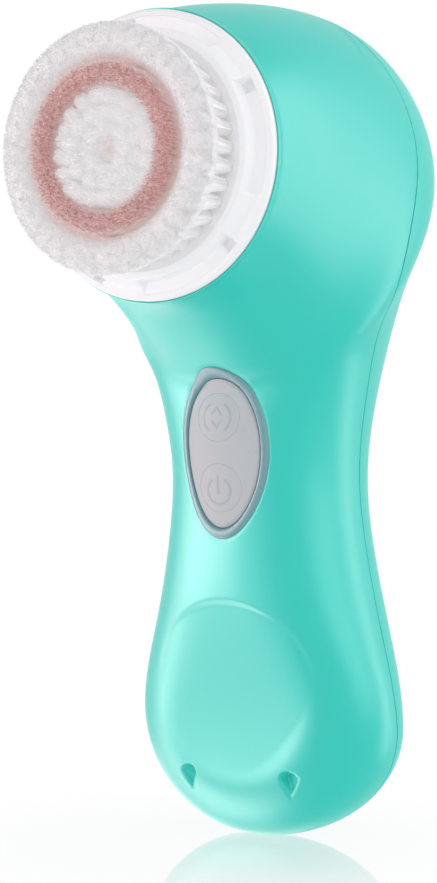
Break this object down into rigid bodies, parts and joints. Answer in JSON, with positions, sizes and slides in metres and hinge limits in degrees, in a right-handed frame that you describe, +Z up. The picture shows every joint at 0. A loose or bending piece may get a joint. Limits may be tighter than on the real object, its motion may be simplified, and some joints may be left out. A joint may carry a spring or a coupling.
{
  "type": "facial cleansing brush",
  "caption": "Hand-held facial cleansing brush: a waisted two-shell handle with an oval key pad and a bent head that carries a round push-on bristle brush.",
  "frame": {"origin": "on the surface that the brush stands on, under the middle of its box", "axes": "+Z up along the handle, -Y the way the bristles face, X from side to side; the body is mirrored about X = 0"},
  "size_m": [0.0564, 0.083, 0.1482],
  "materials": {
    "shell": "glossy aqua moulded plastic",
    "gasket": "dark teal elastomer",
    "bezel": "smoky blue-grey gloss",
    "pad": "matt light grey elastomer",
    "collar": "white moulded plastic",
    "bristle_white": "fine white nylon filaments",
    "bristle_pink": "fine salmon pink filaments",
    "steel": "plain steel",
    "magnet": "nickel plated",
    "iron": "bare sintered iron",
    "copper": "enamelled copper wire",
    "dark_plastic": "glass-filled dark grey",
    "seal_rubber": "matt black",
    "board": "green solder mask",
    "cell": "plain blue shrink sleeve",
    "ferrite": "matt dark grey ferrite",
    "lamp": "clear white lens"
  },
  "bodies": {
    "housing": {"front_housing": "shell", "rear_housing": "shell", "housing_seal": "gasket", "button_bezel": "bezel", "button_pad": "pad", "motor_chassis": "dark_plastic", "chassis_screw_1": "steel", "chassis_screw_2": "steel", "chassis_screw_3": "steel", "chassis_screw_4": "steel", "front_bearing": "steel", "rear_bearing": "steel", "shaft_seal": "seal_rubber", "stator_core": "iron", "stator_coil": "copper", "circuit_board": "board", "speed_switch": "dark_plastic", "power_switch": "dark_plastic", "status_led": "lamp", "motor_driver_chip": "dark_plastic", "board_screw_1": "steel", "board_screw_2": "steel", "battery_cradle": "dark_plastic", "battery": "cell", "charging_coil": "copper", "ferrite_shield": "ferrite", "docking_magnet": "magnet"},
    "oscillator": {"drive_hub": "dark_plastic", "drive_shaft": "steel", "retaining_ring": "steel", "armature_arm": "dark_plastic", "magnet_left": "magnet", "magnet_right": "magnet"},
    "brush_head": {"brush_collar": "collar", "brush_adapter": "collar", "adapter_seal": "seal_rubber", "outer_bristles": "bristle_white"},
    "inner_brush": {"brush_plate": "collar", "drive_socket": "collar", "pink_bristles": "bristle_pink", "centre_bristles": "bristle_white"},
    "speed_key": {"speed_button": "pad"},
    "power_key": {"power_button": "pad"}
  },
  "joints": [
    {"name": "brush_oscillation", "type": "hinge", "parent": "housing", "child": "oscillator", "pos_m": [0, -0.0238, 0.11865], "axis": [0, -1, 0], "range_deg": [-8, 8]},
    {"name": "brush_head_pull", "type": "slide", "parent": "housing", "child": "brush_head", "axis": [0, -1, 0], "range_m": [0, 0.025]},
    {"name": "inner_brush_oscillation", "type": "hinge", "parent": "brush_head", "child": "inner_brush", "pos_m": [0, -0.0238, 0.11865], "axis": [0, -1, 0], "range_deg": [-8.5, 8.5]},
    {"name": "speed_press", "type": "slide", "parent": "housing", "child": "speed_key", "axis": [0, 1, 0], "range_m": [0, 0.0004], "stiffness_N_per_m": 1500},
    {"name": "power_press", "type": "slide", "parent": "housing", "child": "power_key", "axis": [0, 1, 0], "range_m": [0, 0.0004], "stiffness_N_per_m": 1500}
  ],
  "couplings": [
    {"joint": "inner_brush_oscillation", "follows": "brush_oscillation", "ratio": 1}
  ]
}
